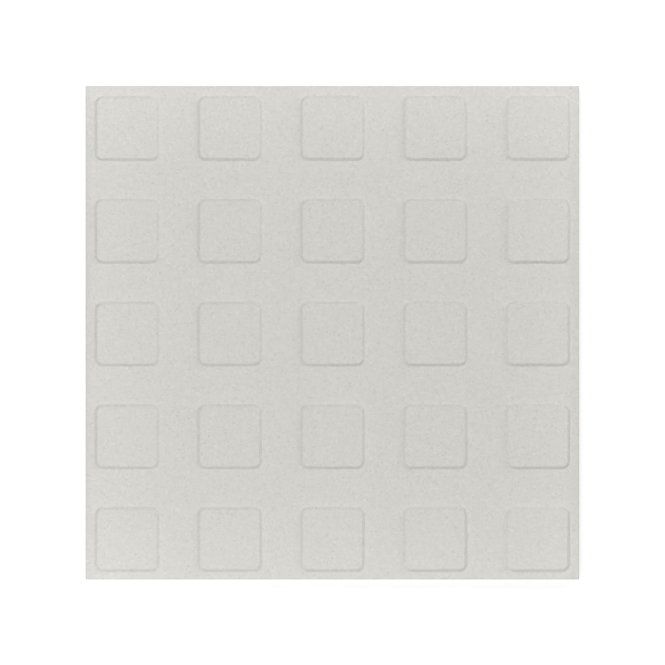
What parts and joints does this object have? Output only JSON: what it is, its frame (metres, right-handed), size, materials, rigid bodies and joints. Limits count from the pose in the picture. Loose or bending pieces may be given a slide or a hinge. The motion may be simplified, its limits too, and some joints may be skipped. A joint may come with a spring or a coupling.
{
  "type": "studded floor tile",
  "caption": "Square pressed porcelain floor tile, its tread side covered in low square studs with rounded corners, its back keyed to grip the adhesive bed.",
  "frame": {"origin": "centre of the square outline, level with the ribs of the back that the tile lies on", "axes": "+Z out of the tread side, X and Y along the tile's sides, +Y towards the side with the wider plain margin"},
  "size_m": [0.298, 0.298, 0.0095],
  "materials": {
    "porcelain": "unglazed, matt, pale warm grey with a fine speckle"
  },
  "bodies": {
    "root": {"studded_tile": "porcelain"}
  },
  "joints": []
}
